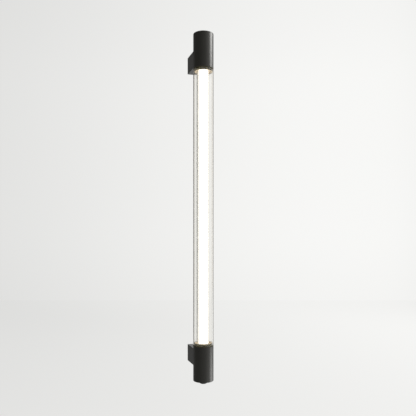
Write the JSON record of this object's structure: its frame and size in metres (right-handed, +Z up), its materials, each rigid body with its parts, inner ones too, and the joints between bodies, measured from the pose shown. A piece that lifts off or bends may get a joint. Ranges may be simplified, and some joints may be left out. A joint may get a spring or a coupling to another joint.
{
  "type": "tube wall light",
  "caption": "Upright wall light: a clear glass tube round an opal light bar, held between black cylindrical caps on square stand-off arms, with a dimmer knob underneath.",
  "frame": {"origin": "on the wall plane, in the middle of the four wall screw holes, half way between the two arms", "axes": "+Z up along the tube, +Y into the wall, -Y towards the room, +X to the right as seen from the room"},
  "size_m": [0.05, 0.079, 0.8581],
  "materials": {
    "satin_black": "satin black powder coat",
    "clear_glass": "clear, polished",
    "opal_plastic": "opal, lit from inside",
    "ivory_plastic": "moulded, satin",
    "raw_aluminium": "satin anodised extrusion",
    "black_rubber": "matte silicone",
    "board_white": "white solder mask",
    "chip_phosphor": "phosphor",
    "connector_white": "moulded",
    "driver_grey": "moulded",
    "potting_black": "cast resin",
    "spring_steel": "phosphated",
    "terminal_grey": "moulded",
    "zinc_steel": "zinc plated",
    "screw_steel": "zinc plated",
    "black_screw": "blackened steel",
    "lead_white": "silicone insulation",
    "lead_brown": "silicone insulation",
    "board_green": "green solder mask",
    "component_dark": "moulded",
    "brass": "turned, nickel free"
  },
  "bodies": {
    "light": {"arm_screws": "screw_steel", "bar_screws": "screw_steel", "block_screw": "screw_steel", "board_connectors": "connector_white", "diffuser": "opal_plastic", "dimmer_board": "board_green", "dimmer_bush": "brass", "dimmer_can": "zinc_steel", "dimmer_leads": "lead_white", "dimmer_nut": "brass", "dimmer_parts": "component_dark", "dimmer_washer": "screw_steel", "driver_case": "driver_grey", "driver_leads": "lead_white", "driver_potting": "potting_black", "driver_ring": "spring_steel", "earth_nut": "brass", "earth_stud": "zinc_steel", "glass_tube": "clear_glass", "grommet": "black_rubber", "holder_screws": "screw_steel", "led_board": "board_white", "led_chips": "chip_phosphor", "light_profile": "raw_aluminium", "lower_arm": "satin_black", "lower_cap": "satin_black", "lower_gasket": "black_rubber", "lower_holder": "satin_black", "lower_reflector": "ivory_plastic", "lower_wall_plate": "zinc_steel", "securing_screws": "black_screw", "supply_leads": "lead_brown", "terminal_block": "terminal_grey", "upper_arm": "satin_black", "upper_cap": "satin_black", "upper_gasket": "black_rubber", "upper_holder": "satin_black", "upper_reflector": "ivory_plastic", "upper_wall_plate": "zinc_steel"},
    "dimmer_knob": {"knob": "satin_black", "dimmer_shaft": "screw_steel"}
  },
  "joints": [
    {"name": "dimmer_turn", "type": "hinge", "parent": "light", "child": "dimmer_knob", "pos_m": [0, -0.054, -0.4235], "axis": [0, 0, 1], "range_deg": [-300, 0]}
  ]
}
